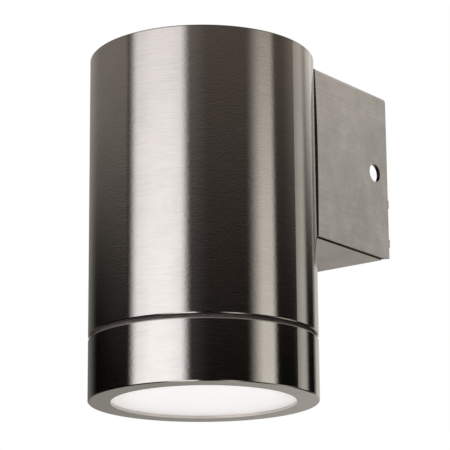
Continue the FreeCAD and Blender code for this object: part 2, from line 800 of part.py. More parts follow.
def make_lamp_holder():
    """Ceramic holder in two mouldings: a body with a cavity for each pin head, and the face plate under
    it with two keyhole slots."""
    place = {"back": "axis_back"}
    face = turned("holder_face", [
        ("0", "holder_low"),
        ("holder_radius - holder_chamfer", "holder_low"),
        ("holder_radius", "holder_low + holder_chamfer"),
        ("holder_radius", HOLDER_LIP_TOP),
        ("0", HOLDER_LIP_TOP),
    ], **place)
    keyway = cut(face, "XY_Plane", "holder_lip", offset="holder_low", forward=True,
                 outlines=[kidney("pin_circle", "keyway_width / 2", "pin_twist")])
    turn_over(face, [keyway])
    keyhole = cut(face, "XY_Plane", "holder_lip", offset="holder_low", forward=True,
                  circles=[("pin_circle * sin(pin_twist)", "pin_circle * cos(pin_twist)", "keyhole_radius")])
    turn_over(face, [keyhole])

    body = turned("lamp_holder", [
        ("0", HOLDER_LIP_TOP),
        ("holder_radius", HOLDER_LIP_TOP),
        ("holder_radius", f"{HOLDER_TOP} - holder_chamfer"),
        ("holder_radius - holder_chamfer", HOLDER_TOP),
        ("0", HOLDER_TOP),
    ], **place)
    cavity = cut(body, "XY_Plane", "cavity_height", offset=HOLDER_LIP_TOP, forward=True,
                 outlines=[box_outline("-cavity_left", "cavity_right", "cavity_near", "cavity_far")])
    turn_over(body, [cavity])
    cut(body, "XY_Plane", "wire_pocket_depth", offset=HOLDER_TOP, circles=[
        ("wire_across", "wire_behind", "wire_pocket"),
        ("-wire_across", "wire_behind", "wire_pocket"),
    ])
    cut(body, "XY_Plane", "strap_screw_length + 1", offset=HOLDER_TOP, circles=[
        ("strap_screw_spacing / 2", "0", "strap_screw_radius + thread_fit"),
        ("-strap_screw_spacing / 2", "0", "strap_screw_radius + thread_fit"),
    ])


def make_holder_contacts():
    """A sprung contact leaf at the outer wall of each cavity, just clear of the pin head."""
    body = start_body("holder_contacts", back="axis_back")
    near = "(pin_circle + pin_head_radius + contact_gap)"
    strip = box_outline("-contact_width / 2", "contact_width / 2", near, f"{near} + contact_thickness")
    leaf = pad(body, "XY_Plane", "contact_height", offset=f"{HOLDER_LIP_TOP} + contact_low", outline=strip)
    turn_over(body, [leaf])


def make_holder_strap():
    """Flat strap across the tube with its ends turned up and welded to the tube wall."""
    body = start_body("holder_strap", back="axis_back")
    low, high = HOLDER_TOP, f"({HOLDER_TOP} + strap_sheet)"
    top = f"({HOLDER_TOP} + strap_tab)"
    outer, inner = "strap_reach", "(strap_reach - strap_sheet)"
    bend, tight = "(strap_reach - strap_bend)", "(strap_bend - strap_sheet)"
    pad(body, "XZ_Plane", "strap_width", both_ways=True, outline=[
        (f"-{bend}", low, "strap_bend", "left"),
        (bend, low),
        (outer, f"{low} + strap_bend", "strap_bend", "left"),
        (outer, top),
        (inner, top),
        (inner, f"{low} + strap_bend"),
        (bend, high, tight, "right"),
        (f"-{bend}", high),
        (f"-{inner}", f"{low} + strap_bend", tight, "right"),
        (f"-{inner}", top),
        (f"-{outer}", top),
        (f"-{outer}", f"{low} + strap_bend"),
    ])
    cut(body, "XY_Plane", "strap_tab", offset=low, forward=True, circles=[
        ("strap_screw_spacing / 2", "0", "strap_screw_radius + hole_fit"),
        ("-strap_screw_spacing / 2", "0", "strap_screw_radius + hole_fit"),
    ])


def make_strap_screws():
    """Two pan-head screws down through the strap into the holder."""
    body = start_body("strap_screws", across="-strap_screw_spacing / 2", back="axis_back")
    seat = f"({HOLDER_TOP} + strap_sheet)"
    screw = revolve(body, [
        ("0", f"{HOLDER_TOP} - strap_screw_length"),
        ("strap_screw_radius", f"{HOLDER_TOP} - strap_screw_length"),
        ("strap_screw_radius", seat),
        ("strap_head_radius", seat),
        ("strap_head_radius", f"{seat} + strap_head_height / 2"),
        ("strap_head_radius * 3 / 4", f"{seat} + strap_head_height"),
        ("0", f"{seat} + strap_head_height"),
    ])
    repeat(body, [screw], "X_Axis", "strap_screw_spacing")


# ---- Lamp --------------------------------------------------------------------------------------

def bowl(inner, top, outer, low):
    """Points down a quarter of an ellipse, from (inner, top) out to (outer, low)."""
    return [(f"{inner} + ({outer} - {inner}) * sin({turn})", f"{low} + ({top} - {low}) * cos({turn})")
            for turn in (0, 20, 40, 65, 90)]


def make_lamp():
    """Twist-lock reflector lamp: base, two headed pins, reflector, capsule and front glass."""
    turned("lamp_base", [
        ("0", NECK),
        ("neck_radius", NECK),
        ("neck_radius", f"{NECK} + neck_height"),
        ("base_radius", f"{NECK} + neck_height + neck_taper"),
        ("base_radius - base_draft", f"{LAMP_TOP} - base_chamfer"),
        ("base_radius - base_draft - base_chamfer", LAMP_TOP),
        ("0", LAMP_TOP),
    ], back="axis_back")
    head = f"({HOLDER_LIP_TOP} + pin_float)"
    pins = start_body("lamp_pins", back="axis_back - pin_circle")
    pin = revolve(pins, [
        ("0", LAMP_TOP),
        ("pin_neck_radius", LAMP_TOP),
        ("pin_neck_radius", head),
        ("pin_head_radius", head),
        ("pin_head_radius", f"{head} + pin_head_height - pin_chamfer"),
        ("pin_head_radius - pin_chamfer", f"{head} + pin_head_height"),
        ("0", f"{head} + pin_head_height"),
    ])
    repeat(pins, [pin], "Y_Axis", "pin_circle * 2", backwards=True)
    rim, mouth = "(lamp_front + rim_height)", "(lamp_radius - rim_wall)"
    inside = f"({NECK} - lamp_wall)"
    turned("lamp_reflector", [
        ("0", inside),
        *bowl("(neck_radius - lamp_wall)", inside, mouth, rim),
        (mouth, "lamp_front"),
        ("lamp_radius", "lamp_front"),
        *reversed(bowl("neck_radius", NECK, "lamp_radius", rim)),
        ("0", NECK),
    ], back="axis_back")
    turned("lamp_front_glass", box_outline(
        "0", f"{mouth} - hole_fit", "lamp_front", "lamp_front + front_thickness"), back="axis_back")
    turned("lamp_capsule", [
        ("0", f"{inside} - capsule_length"),
        ("capsule_radius", f"{inside} - capsule_length + capsule_radius", "capsule_radius", "left"),
        ("capsule_radius", f"{inside} - capsule_foot"),
        ("capsule_radius * 3 / 4", inside),
        ("0", inside),
    ], back="axis_back")


# ---- Wall bracket ------------------------------------------------------------------------------

def make_wall_bracket():
    """Punched plate with two wall slots and a cable hole, and an ear with a tapped hole each side."""
    body = start_body("wall_bracket")
    right, top = "(bracket_width / 2)", "(bracket_height / 2)"
    near_x, near_z = f"({right} - corner_radius)", f"({top} - corner_radius)"
    pad(body, "XZ_Plane", "bracket_sheet", outline=[
        (near_x, f"-{top}"),
        (right, f"-{near_z}", "corner_radius", "left"),
        (right, near_z),
        (near_x, top, "corner_radius", "left"),
        (f"-{near_x}", top),
        (f"-{right}", near_z, "corner_radius", "left"),
        (f"-{right}", f"-{near_z}"),
        (f"-{near_x}", f"-{top}", "corner_radius", "left"),
    ])
    half = "(ear_height / 2)"
    nose = "(ear_length - corner_radius)"
    ear = pad(body, "YZ_Plane", "bracket_sheet", offset=f"{right} - bracket_sheet", outline=[
        ("0", half),
        (f"-{nose}", half),
        ("-ear_length", f"{half} - corner_radius", "corner_radius", "left"),
        ("-ear_length", f"-({half} - corner_radius)"),
        (f"-{nose}", f"-{half}", "corner_radius", "left"),
        ("0", f"-{half}"),
    ])
    mirror(body, [ear], "YZ_Plane")
    ear_hole = ("-side_hole_back", "0", "ear_hole_radius")
    cut(body, "YZ_Plane", "bracket_width * 2", circles=[ear_hole], both_ways=True)
    side, reach = "(slot_width / 2)", "(slot_length / 2 - slot_width / 2)"
    middle = "(slot_spacing / 2)"
    slot = cut(body, "XZ_Plane", "bracket_sheet", forward=True, outlines=[[
        (side, f"{middle} - {reach}", "half", "left"),
        (side, f"{middle} + {reach}"),
        (f"-{side}", f"{middle} + {reach}", "half", "left"),
        (f"-{side}", f"{middle} - {reach}"),
    ]])
    mirror(body, [slot], "XY_Plane")
    cut(body, "XZ_Plane", "bracket_sheet", forward=True, circles=[
        ("0", "0", "cable_hole_radius"),
        ("earth_across", "earth_up", "screw_radius"),
    ])


def make_bracket_fittings():
    """Cable grommet in the bracket's middle hole, and the bracket's own earth screw."""
    flange = "(cable_hole_radius + grommet_flange)"
    sleeve = "(cable_hole_radius - thread_fit)"
    front = "(-bracket_sheet - grommet_flange)"
    turned("cable_grommet", [
        ("cable_bore", front),
        (f"{flange} - grommet_chamfer", front),
        (flange, f"{front} + grommet_chamfer"),
        (flange, "-bracket_sheet"),
        (sleeve, "-bracket_sheet"),
        (sleeve, "0"),
        ("cable_bore", "0"),
    ], lay_back=True)
    seat = "(-bracket_sheet - washer_thickness)"
    turned("bracket_earth_screw", [
        ("0", f"{seat} - head_height"),
        ("head_radius - head_chamfer", f"{seat} - head_height"),
        ("head_radius", f"{seat} - head_height + head_chamfer"),
        ("head_radius", seat),
        ("washer_radius", seat),
        ("washer_radius", "-bracket_sheet"),
        ("screw_radius", "-bracket_sheet"),
        ("screw_radius", "-earth_recess"),
        ("0", "-earth_recess"),
    ], across="earth_across", up="earth_up", lay_back=True)


def check_and_write():
    """Stop on any failed feature or bad shape, then write one file for each piece."""
    doc.recompute()
    failed = [item.Name for item in doc.Objects if {"Invalid", "Error"} & set(item.State)]
    if failed:
        raise RuntimeError(f"failed features: {failed}")
    for name, piece in pieces.items():
        if piece.Shape.isNull() or not piece.Shape.isValid():
            raise RuntimeError(f"{name}: no valid shape")
    os.makedirs("parts", exist_ok=True)
    for name, piece in pieces.items():
        piece.Shape.exportStep(f"parts/{name}.step")
        box = piece.Shape.BoundBox
        print(f"{name}: {len(piece.Shape.Solids)} solid(s), x {box.XMin:.2f} {box.XMax:.2f},"
              f" y {box.YMin:.2f} {box.YMax:.2f}, z {box.ZMin:.2f} {box.ZMax:.2f}")


make_body_tube()
make_top_cap()
make_threaded_collar()
make_ring_seal()
make_lens_ring()
make_lens()
make_box_sleeve()
make_saddle()
make_saddle_fasteners()
make_lead_grommet()
make_terminal_block()
make_terminal_metal()
make_earth_tag()
make_leads()
make_lamp_holder()
make_holder_contacts()
make_holder_strap()
make_strap_screws()
make_lamp()
make_wall_bracket()
make_bracket_fittings()
check_and_write()
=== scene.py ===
# %% [markdown]
# # Tube wall light
# A closed steel tube throws light down through a frosted lens. A square folded box carries it on a
# wall bracket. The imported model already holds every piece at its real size, so this script gives
# the pieces their finish, adds the small forms that the model leaves out, and lights and frames
# them.

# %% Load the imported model
import math
import bmesh
import bpy
from mathutils import Matrix, Vector


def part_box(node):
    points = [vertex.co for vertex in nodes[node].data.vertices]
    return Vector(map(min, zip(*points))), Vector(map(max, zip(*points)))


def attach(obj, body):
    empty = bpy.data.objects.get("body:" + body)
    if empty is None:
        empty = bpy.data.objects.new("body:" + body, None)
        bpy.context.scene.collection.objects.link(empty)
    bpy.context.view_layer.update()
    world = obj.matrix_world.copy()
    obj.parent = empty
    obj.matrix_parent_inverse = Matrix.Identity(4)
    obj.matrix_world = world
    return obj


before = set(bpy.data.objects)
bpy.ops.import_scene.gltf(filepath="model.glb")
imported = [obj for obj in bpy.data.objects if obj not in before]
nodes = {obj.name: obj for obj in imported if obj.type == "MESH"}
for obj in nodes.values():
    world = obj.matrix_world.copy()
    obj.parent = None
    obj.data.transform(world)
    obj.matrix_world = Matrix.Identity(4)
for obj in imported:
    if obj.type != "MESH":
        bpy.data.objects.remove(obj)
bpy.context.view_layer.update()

# %% [markdown]
# ## The tube's axis and main sizes
# Turned and drawn pieces share one upright axis. The axis and the main sizes are read from the
# model, so the patterns and pieces built on them here lie where the model has them.

# %% Read the main sizes
tube_low, tube_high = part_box("body_tube")
_, ring_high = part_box("lens_ring")
box_low, box_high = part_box("box_sleeve")
collar_low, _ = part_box("threaded_collar")
axis_x = (tube_low.x + tube_high.x) / 2
axis_y = (tube_low.y + tube_high.y) / 2
tube_radius = (tube_high.x - tube_low.x) / 2
print("tube radius mm", round(tube_radius * 1000, 2), "axis y mm", round(axis_y * 1000, 2))

# %% [markdown]
# ## Camera
# The light was photographed from below and from its right, with a long lens. The angles come from
# matching the tube's sides, its two round rims and the corners of the box. The camera stands about
# eighteen tube radii from the axis and is tilted up by fifteen degrees. A small turn and a small
# lean put the light where the photo has it. Angles are in degrees, distances in metres, and the
# lens and sensor in millimetres.

# %% Place the camera
view_azimuth = 37.913
stand_off = 0.58314
camera_height = -0.1791
tilt_up = 15.009
turn = -0.622
lean = -0.4745
lens_length = 168.9
sensor_width = 36.0
near_clip = 0.01


def look_frame(azimuth, pitch, roll):
    """Right, up and forward directions of a camera, from its three angles in degrees."""
    heading = math.radians(azimuth)
    pitch = math.radians(pitch)
    roll = math.radians(roll)
    flat = Vector((-math.sin(heading), math.cos(heading), 0))
    forward = flat * math.cos(pitch) + Vector((0, 0, math.sin(pitch)))
    right = Vector((math.cos(heading), math.sin(heading), 0))
    up = right.cross(forward)
    return (right * math.cos(roll) + up * math.sin(roll),
            up * math.cos(roll) - right * math.sin(roll),
            forward)


camera_data = bpy.data.cameras.new("photo_camera")
camera_data.sensor_width = sensor_width
camera_data.lens = lens_length
camera_data.clip_start = near_clip
camera = bpy.data.objects.new("photo_camera", camera_data)
bpy.context.scene.collection.objects.link(camera)
stand = math.radians(view_azimuth)
stand_point = Vector((axis_x + stand_off * math.sin(stand),
                      axis_y - stand_off * math.cos(stand),
                      camera_height))
right, up, forward = look_frame(view_azimuth + turn, tilt_up, lean)
turned = Matrix((right, up, -forward)).transposed().to_4x4()
camera.matrix_world = Matrix.Translation(stand_point) @ turned
bpy.context.scene.camera = camera
bpy.context.scene.view_settings.view_transform = "Standard"
print("camera at", [round(v, 3) for v in stand_point])

# %% [markdown]
# ## Node helpers
# The studio and every finish are small networks of shader nodes. These helpers keep the networks
# short: each adds one node, sets or links its inputs, and hands back what the next step needs.


# %% Helpers for node trees
def add_node(tree, kind, inputs=None, **settings):
    """Add a node; a value that is a socket is linked, any other value is set."""
    node = tree.nodes.new(kind)
    for key, value in settings.items():
        setattr(node, key, value)
    for key, value in (inputs or {}).items():
        if isinstance(value, bpy.types.NodeSocket):
            tree.links.new(value, node.inputs[key])
        else:
            node.inputs[key].default_value = value
    return node


def compute(tree, operation, *values):
    """A Math node over numbers or sockets; gives its output socket."""
    inputs = dict(enumerate(values))
    return add_node(tree, "ShaderNodeMath", inputs, operation=operation).outputs[0]


def compute_vector(tree, operation, *values, output="Vector"):
    """A Vector Math node over vectors or sockets; gives the named output socket."""
    inputs = dict(enumerate(values))
    return add_node(tree, "ShaderNodeVectorMath", inputs, operation=operation).outputs[output]


def map_range(tree, value, start, end, first=0.0, last=1.0, kind="LINEAR"):
    """Map a value from one range to another; gives its output socket."""
    inputs = {"Value": value, "From Min": start, "From Max": end, "To Min": first, "To Max": last}
    return add_node(tree, "ShaderNodeMapRange", inputs, interpolation_type=kind).outputs["Result"]


def mix_colour(tree, factor, first, second, **settings):
    """Mix two colours. A Mix node's colour sockets are its inputs 6 and 7 and its output 2."""
    inputs = {0: factor, 6: first, 7: second}
    return add_node(tree, "ShaderNodeMix", inputs, data_type="RGBA", **settings).outputs[2]


def ramp(tree, factor, stops):
    """A colour ramp from two (place, grey or colour) stops; gives its colour socket."""
    node = add_node(tree, "ShaderNodeValToRGB", {"Fac": factor})
    for element, (place, shade) in zip(node.color_ramp.elements, stops):
        element.position = place
        element.color = (*shade, 1) if isinstance(shade, tuple) else (shade, shade, shade, 1)
    return node.outputs["Color"]


# %% [markdown]
# Materials need a few steps again and again: a new shader, a place on the piece, a noise pattern,
# and links that let a pattern drive the shader's colour, roughness and bump. Places are in metres,
# so a noise's scale is its number of lumps in a metre.


# %% Helpers for materials
def start_material(name, **constants):
    """A new material with its main shader's constant sockets set."""
    material = bpy.data.materials.new(name)
    material.use_nodes = True
    tree = material.node_tree
    shader = tree.nodes["Principled BSDF"]
    for key, value in constants.items():
        shader.inputs[key.replace("_", " ")].default_value = value
    return material, tree, shader


def object_place(tree):
    """The place on the piece, in the model's frame."""
    return add_node(tree, "ShaderNodeTexCoord").outputs["Object"]


def from_axis(tree, place):
    """The place as seen from the tube's axis."""
    return compute_vector(tree, "ADD", place, (-axis_x, -axis_y, 0))


def axis_distance(tree, centred):
    """How far such a place lies from the tube's axis."""
    flat = compute_vector(tree, "MULTIPLY", centred, (1, 1, 0))
    return compute_vector(tree, "LENGTH", flat, output="Value")


def noise(tree, place, scale, detail, roughness=0.5):
    """A cloudy pattern between 0 and 1."""
    inputs = {"Vector": place, "Scale": scale, "Detail": detail, "Roughness": roughness}
    return add_node(tree, "ShaderNodeTexNoise", inputs).outputs["Fac"]


def link_tone(tree, shader, pattern, start, first, end, last):
    """Colour the piece by a pattern: the first colour up to `start`, the last from `end` on."""
    tone = ramp(tree, pattern, ((start, first), (end, last)))
    tree.links.new(tone, shader.inputs["Base Color"])


def link_roughness(tree, shader, pattern, mean, spread):
    """Let a pattern move the roughness to both sides of its mean."""
    rough = compute(tree, "MULTIPLY_ADD", pattern, spread, mean - spread / 2)
    tree.links.new(rough, shader.inputs["Roughness"])


def link_bump(tree, shader, pattern, distance, strength=1.0):
    """Let a pattern raise the surface by a distance in metres."""
    inputs = {"Strength": strength, "Distance": distance, "Height": pattern}
    bump = add_node(tree, "ShaderNodeBump", inputs)
    tree.links.new(bump.outputs[0], shader.inputs["Normal"])


# %% [markdown]
# ## Studio
# Bare steel shows its surroundings more than itself. The photo's long upright stripes are a
# studio's white panels and black gaps, seen in the curved wall. So the studio is built as a ring of
# panels, each with a direction, a width and a soft edge. The tube's foot shows the lower part of
# the studio, its head the higher part. The main panels are brighter low down and the gaps are
# darker there, which is why the stripes get stronger towards the foot.

# %% The ring of panels
# Each panel brightens between the first two directions and fades between the last two (degrees, 0
# in front of the wall light, + to its right). Then come its brightness low down and high up. The
# circle is cut just before the front panel. The left card's fade lies past the cut, so that card
# ends at the cut.
circle_cut = -44
panels = {
    "front panel": (-42, -30, 15, 26, 1.25, 0.66),
    "front panel core": (-40, -10, 2, 26, 0.30, 0.14),
    "front spill": (10, 20, 24, 46, 0.02, 0.10),
    "side card": (82, 101, 110, 117, 0.88, 0.04),
    "rear card": (140, 153, 158, 167, 0.56, 0.0),
    "rear spill": (124, 160, 172, 188, 0.0, 0.26),
    "high rear card": (164, 179, 184, 193, 0.0, 0.55),
    "backdrop": (178, 191, 205, 235, 0.62, 0.60),
    "backdrop spill": (215, 235, 236, 268, 0.17, 0.30),
    "left card": (235, 265, 360, 370, 0.0, 0.15),
}
print("panels", len(panels))

# %% [markdown]
# Height in the studio is the sine of a direction's angle above level. Brightness passes from its
# low to its high value between two such heights. Three of the panels change over a shorter rise of
# their own. The panels in front are very slightly blue and the others very slightly yellow. The
# gaps are black low down and a dark warm grey high up. A plain ceiling closes the studio above, and
# what lies below level is a little darker and warmer.

# %% Heights and tints
change_sines = (0.22, 0.42)
own_sines = {
    "left card": (0.245, 0.31),
    "high rear card": (0.25, 0.34),
    "rear spill": (0.25, 0.34),
}
white = (1, 1, 1, 1)
front_tint, side_tint = (1.0, 1.0, 1.06, 1), (1.0, 0.985, 0.94, 1)
tint_change = (40, 60)
gap_low, gap_high = (0.0, 0.0, 0.0, 1), (0.174, 0.148, 0.133, 1)
ceiling_sines, ceiling_grey = (0.55, 0.80), (0.60, 0.60, 0.60, 1)
below_sines, below_tint = (-0.05, -0.30), (0.86, 0.83, 0.80, 1)
print("panels with a rise of their own", sorted(own_sines))

# %% [markdown]
# The world's nodes work out a direction's heading and sine, add up the panels there, and lay the
# sum over the gap's colour. Only reflections and light come from this ring. The camera itself sees
# plain white behind the wall light.


# %% Build the studio
def panel_light(tree, heading, sine):
    """The brightness of all panels, added up, in one direction."""
    total = 0.0
    for name, (brighten, full, fade, gone, low, high) in panels.items():
        level = map_range(tree, sine, *own_sines.get(name, change_sines), low, high)
        near_side = map_range(tree, heading, brighten, full, kind="SMOOTHSTEP")
        far_side = map_range(tree, heading, fade, gone, 1.0, 0.0, kind="SMOOTHSTEP")
        shape = compute(tree, "MULTIPLY", near_side, far_side)
        total = compute(tree, "MULTIPLY_ADD", shape, level, total)
    return total


def build_world():
    """The ring of panels with its ceiling and its lower half."""
    world = bpy.data.worlds.new("studio")
    world.use_nodes = True
    tree = world.node_tree
    tree.nodes.clear()
    direction = add_node(tree, "ShaderNodeTexCoord").outputs["Generated"]
    to_right, to_wall, sine = add_node(tree, "ShaderNodeSeparateXYZ", {0: direction}).outputs
    to_front = compute(tree, "MULTIPLY", to_wall, -1.0)
    heading = compute(tree, "ARCTAN2", to_right, to_front)
    heading = compute(tree, "MULTIPLY", heading, 180 / math.pi)
    heading = compute(tree, "WRAP", heading, circle_cut + 360, circle_cut)
    gap = mix_colour(tree, map_range(tree, sine, *change_sines), gap_low, gap_high)
    tint = mix_colour(tree, map_range(tree, heading, *tint_change), front_tint, side_tint)
    ring = mix_colour(tree, panel_light(tree, heading, sine), gap, tint,
                      blend_type="ADD", clamp_factor=False)
    below = mix_colour(tree, map_range(tree, sine, *below_sines), white, below_tint)
    ring = compute_vector(tree, "MULTIPLY", ring, below)
    lit = mix_colour(tree, map_range(tree, sine, *ceiling_sines), ring, ceiling_grey)
    studio = add_node(tree, "ShaderNodeBackground", {"Color": lit}).outputs[0]
    plain = add_node(tree, "ShaderNodeBackground", {"Color": white}).outputs[0]
    seen = add_node(tree, "ShaderNodeLightPath").outputs["Is Camera Ray"]
    mixed = add_node(tree, "ShaderNodeMixShader", {0: seen, 1: studio, 2: plain}).outputs[0]
    add_node(tree, "ShaderNodeOutputWorld", {"Surface": mixed})
    return world


bpy.context.scene.world = build_world()
print("studio nodes", len(bpy.context.scene.world.node_tree.nodes))

# %% [markdown]
# ## Floor and lights
# The lens and the ring's lip face down, so they are lit by a soft panel and a pale floor below
# them. Neither shows in the steel, and the floor is far enough down to stay out of the picture.

# %% Lay the floor
floor_level = -1.50
floor_size = 5.0
floor_roughness = 0.9
floor_lumps = 6.0
floor_greys = ((0.3, 0.86), (0.7, 0.90))


def build_floor():
    """A plain pale floor with a faint cloud in its tone."""
    mesh = bpy.data.meshes.new("studio_floor")
    shape = bmesh.new()
    bmesh.ops.create_grid(shape, x_segments=1, y_segments=1, size=floor_size / 2,
                          matrix=Matrix.Translation((0, 0, floor_level)))
    shape.to_mesh(mesh)
    shape.free()
    floor = bpy.data.objects.new("studio_floor", mesh)
    bpy.context.scene.collection.objects.link(floor)
    material, tree, shader = start_material("studio_floor", Roughness=floor_roughness)
    grain = add_node(tree, "ShaderNodeTexNoise", {"Scale": floor_lumps, "Detail": 2.0})
    tree.links.new(ramp(tree, grain.outputs["Fac"], floor_greys), shader.inputs["Base Color"])
    mesh.materials.append(material)
    floor.visible_glossy = False
    print("floor level m", floor_level)


build_floor()

# %% [markdown]
# The ring of panels alone leaves the box's flat side too dark. A small card to the right of the
# box, behind it and a little above, puts that right. It is linked to the box, so the tube doesn't
# show it.


# %% Set the two lights
def add_panel(name, place, aim, width, height, power, only=None):
    """A soft light turned to an aim point, with its size in metres and its power in watts. The
    camera never sees it. With `only`, it lights that piece alone and shows in its steel; without,
    it lights everything but shows in none."""
    data = bpy.data.lights.new(name, "AREA")
    data.shape = "RECTANGLE"
    data.size = width
    data.size_y = height
    data.energy = power
    light = bpy.data.objects.new(name, data)
    facing = (Vector(aim) - Vector(place)).to_track_quat("-Z", "Y").to_matrix().to_4x4()
    light.matrix_world = Matrix.Translation(place) @ facing
    light.visible_camera = False
    light.visible_glossy = only is not None
    if only is not None:
        lit_pieces = bpy.data.collections.new(name + "_lights")
        lit_pieces.objects.link(only)
        light.light_linking.receiver_collection = lit_pieces
    bpy.context.scene.collection.objects.link(light)
    print(name, "watts", power)


box_side_middle = (box_high.x, (box_low.y + box_high.y) / 2, 0)
add_panel("lower_panel", place=(axis_x, axis_y, -0.30), aim=(axis_x, axis_y, 0),
          width=0.16, height=0.16, power=0.12)
add_panel("box_card", place=(0.105, 0.100, 0.056), aim=box_side_middle,
          width=0.06, height=0.13, power=0.0090, only=nodes["box_sleeve"])

# %% [markdown]
# ## Scratches
# The tube and box are stainless sheet rubbed with a belt, and the ring and cap are turned. Either
# way the steel is left with fine scratches in one direction. They are made of noise that is drawn
# out along the scratches: few lumps in a metre along them, many across. Shorter specks lie between
# them.

# %% Scratch patterns
hairs_along = 130.0
hairs_across = 2800.0
specks_along = 900.0
specks_across = 2200.0
edge_reach = 0.0005
edge_core = 0.4


def hair_noise(tree, place, way, along, across, turned, fineness=1.0):
    """Noise drawn out along the axes named in `way`. Less fineness makes it wider both ways. On
    turned pieces it also changes from ring to ring."""
    stretch = tuple((along if axis in way else across) * fineness for axis in "XYZ")
    drawn = compute_vector(tree, "MULTIPLY", place, stretch)
    settings = {"Vector": drawn, "Scale": 1.0, "Detail": 3.0, "Roughness": 0.65}
    if not turned:
        return add_node(tree, "ShaderNodeTexNoise", settings).outputs["Fac"]
    rings = hairs_across * fineness
    settings["W"] = compute(tree, "MULTIPLY", axis_distance(tree, place), rings)
    return add_node(tree, "ShaderNodeTexNoise", settings, noise_dimensions="4D").outputs["Fac"]


def near_edge(tree, place, height):
    """1 close to an edge at the given height, falling to 0 a little away from it."""
    rise = add_node(tree, "ShaderNodeSeparateXYZ", {0: place}).outputs[2]
    away = compute(tree, "ABSOLUTE", compute(tree, "SUBTRACT", rise, height))
    return map_range(tree, away, edge_reach * edge_core, edge_reach, 1.0, 0.0)


# %% [markdown]
# ## Brushed steel
# A reflection in brushed steel stays sharp along the scratches and smears across them: this is an
# anisotropic finish. The tangent node says which way they run. Wide bands and cloudy handling marks
# keep the steel from looking like chrome. The bands and marks are darker shades of the same steel.
# A painted shade darkens the tube's top rim. The ring's bare upper edge is duller, so it catches
# light from all round.

# %% Mix the steels
steel_shade = (0.62, 0.583, 0.535)
band_shade, band_share, band_fineness = 0.86, 0.30, 0.12
mark_shade, mark_lumps, mark_range = 0.62, 60.0, (0.40, 0.65)
# Painted shade along the tube's top rim.
painted_rim_shade = 0.30
anisotropy = 0.8
hair_spread, mark_spread, edge_spread = 0.06, 0.04, 0.5
hair_share, scratch_height = 0.15, 0.000016


def tinted(factor):
    """The steel's shade made darker or lighter."""
    return tuple(part * factor for part in steel_shade) + (1,)


def brushed_steel(name, tangent_axis, tangent_turn, way, turned=False, roughness=0.115,
                  contrast=0.11, fineness=1.0, stain=0.15, dull_edge=None, painted_shade_edge=None):
    """Steel with scratches along the axes named in `way`. Its tangent runs round one axis, turned
    on by a part of a full turn. `contrast` is how much the scratches' tone varies, `stain` how much
    a handled patch darkens. The dull edge is given by its height, and so is the rim that gets a
    painted shade."""
    material, tree, shader = start_material(name, Metallic=1.0, Anisotropic=anisotropy,
                                            Anisotropic_Rotation=tangent_turn)
    place = object_place(tree)
    centred = from_axis(tree, place)
    hairs = hair_noise(tree, centred, way, hairs_along, hairs_across, turned, fineness)
    bands = hair_noise(tree, centred, way, hairs_along, hairs_across, turned, band_fineness)
    specks = hair_noise(tree, centred, way, specks_along, specks_across, turned)
    marks = noise(tree, centred, mark_lumps, detail=4.0, roughness=0.7)
    tone = mix_colour(tree, hairs, tinted(1 - contrast), tinted(1 + contrast))
    tone = mix_colour(tree, compute(tree, "MULTIPLY", bands, band_share), tone, tinted(band_shade))
    marked = map_range(tree, marks, *mark_range, 0.0, stain)
    tone = mix_colour(tree, marked, tone, tinted(mark_shade))
    # A painted shade darkens the steel along the rim at this height.
    if painted_shade_edge is not None:
        tone = mix_colour(tree, near_edge(tree, place, painted_shade_edge), tone, tinted(painted_rim_shade))
    tree.links.new(tone, shader.inputs["Base Color"])
    least_rough = roughness - (hair_spread + mark_spread) / 2
    rough = compute(tree, "MULTIPLY_ADD", hairs, hair_spread, least_rough)
    rough = compute(tree, "MULTIPLY_ADD", marks, mark_spread, rough)
    if dull_edge is not None:
        dull = near_edge(tree, place, dull_edge)
        rough = compute(tree, "MULTIPLY_ADD", dull, edge_spread, rough)
    tree.links.new(rough, shader.inputs["Roughness"])
    height = compute(tree, "MULTIPLY_ADD", hairs, hair_share, specks)
    link_bump(tree, shader, height, scratch_height)
    tangent = add_node(tree, "ShaderNodeTangent", direction_type="RADIAL", axis=tangent_axis)
    tree.links.new(tangent.outputs[0], shader.inputs["Tangent"])
    return material


tube_steel = brushed_steel("brushed_tube_steel", "Z", 0.25, "XY", painted_shade_edge=tube_high.z)
ring_steel = brushed_steel("turned_ring_steel", "Z", 0.25, "XY", turned=True,
                           dull_edge=ring_high.z)
cap_steel = brushed_steel("turned_cap_steel", "Z", 0.0, "XY", turned=True, roughness=0.38)
box_steel = brushed_steel("brushed_box_steel", "Y", 0.0, "Y", roughness=0.30, contrast=0.28,
                          fineness=0.8, stain=0.55)
print("steels", [steel.name for steel in (tube_steel, ring_steel, cap_steel, box_steel)])

# %% [markdown]
# ## Other metals
# The collar and saddle are the same steel straight from the mill, duller and without brushing. The
# bracket, straps and most screws are zinc plated: bright, slightly blue, with a faint crystal
# mottle. Contacts, clamps and the bracket's earth screw are brass.

# %% Mix the plain metals
mottle_stops = (0.3, 0.7)
mottle_spread = 0.18
grain_fineness = 7


def mottled_metal(name, dark, light, roughness, lumps, height):
    """Unbrushed metal with a fine mottle in tone and roughness, and a finer grain in height."""
    material, tree, shader = start_material(name, Metallic=1.0)
    place = object_place(tree)
    mottle = noise(tree, place, lumps, detail=4.0)
    grain = noise(tree, place, lumps * grain_fineness, detail=2.0)
    link_tone(tree, shader, mottle, mottle_stops[0], dark, mottle_stops[1], light)
    link_roughness(tree, shader, mottle, roughness, mottle_spread)
    link_bump(tree, shader, grain, height)
    return material


